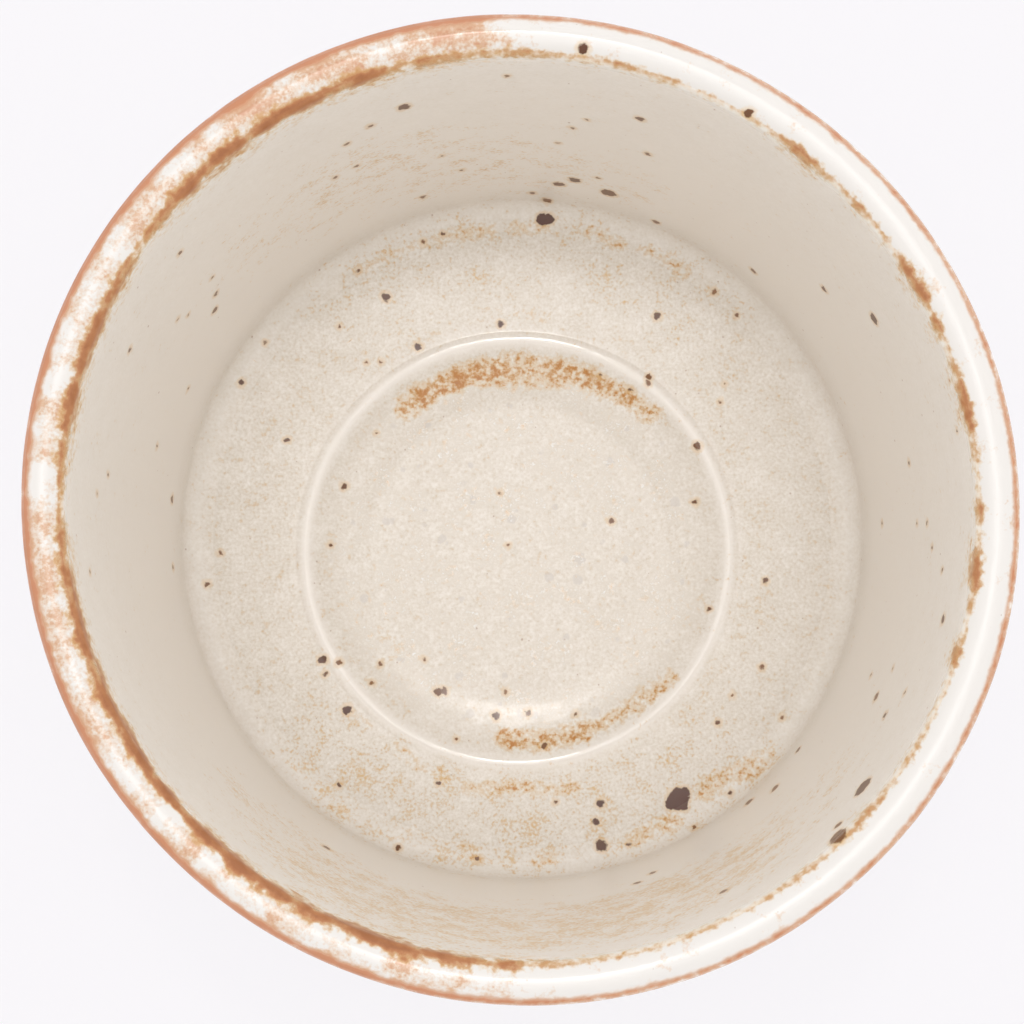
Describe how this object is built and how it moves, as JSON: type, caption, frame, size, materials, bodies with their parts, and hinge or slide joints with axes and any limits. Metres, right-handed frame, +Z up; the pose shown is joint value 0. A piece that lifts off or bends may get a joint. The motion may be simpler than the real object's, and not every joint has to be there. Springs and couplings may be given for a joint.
{
  "type": "sencha teacup",
  "caption": "Straight-sided thrown stoneware teacup with a speckled cream glaze, a thick white lip that breaks to brown at its edges, a shallow well in the floor and a bare clay foot ring.",
  "frame": {"origin": "middle of the circle that the foot ring stands on, at table height", "axes": "+Z up along the axis that the cup was thrown on; -Y is the side nearest the camera in the picture"},
  "size_m": [0.082, 0.0814, 0.068],
  "materials": {
    "bare_stoneware": "matte",
    "cream_glaze": "gloss",
    "white_glaze": "gloss"
  },
  "bodies": {
    "root": {"clay_body": "bare_stoneware", "foot_ring": "bare_stoneware", "outer_glaze": "cream_glaze", "lip_glaze": "white_glaze", "inner_glaze": "cream_glaze"}
  },
  "joints": []
}
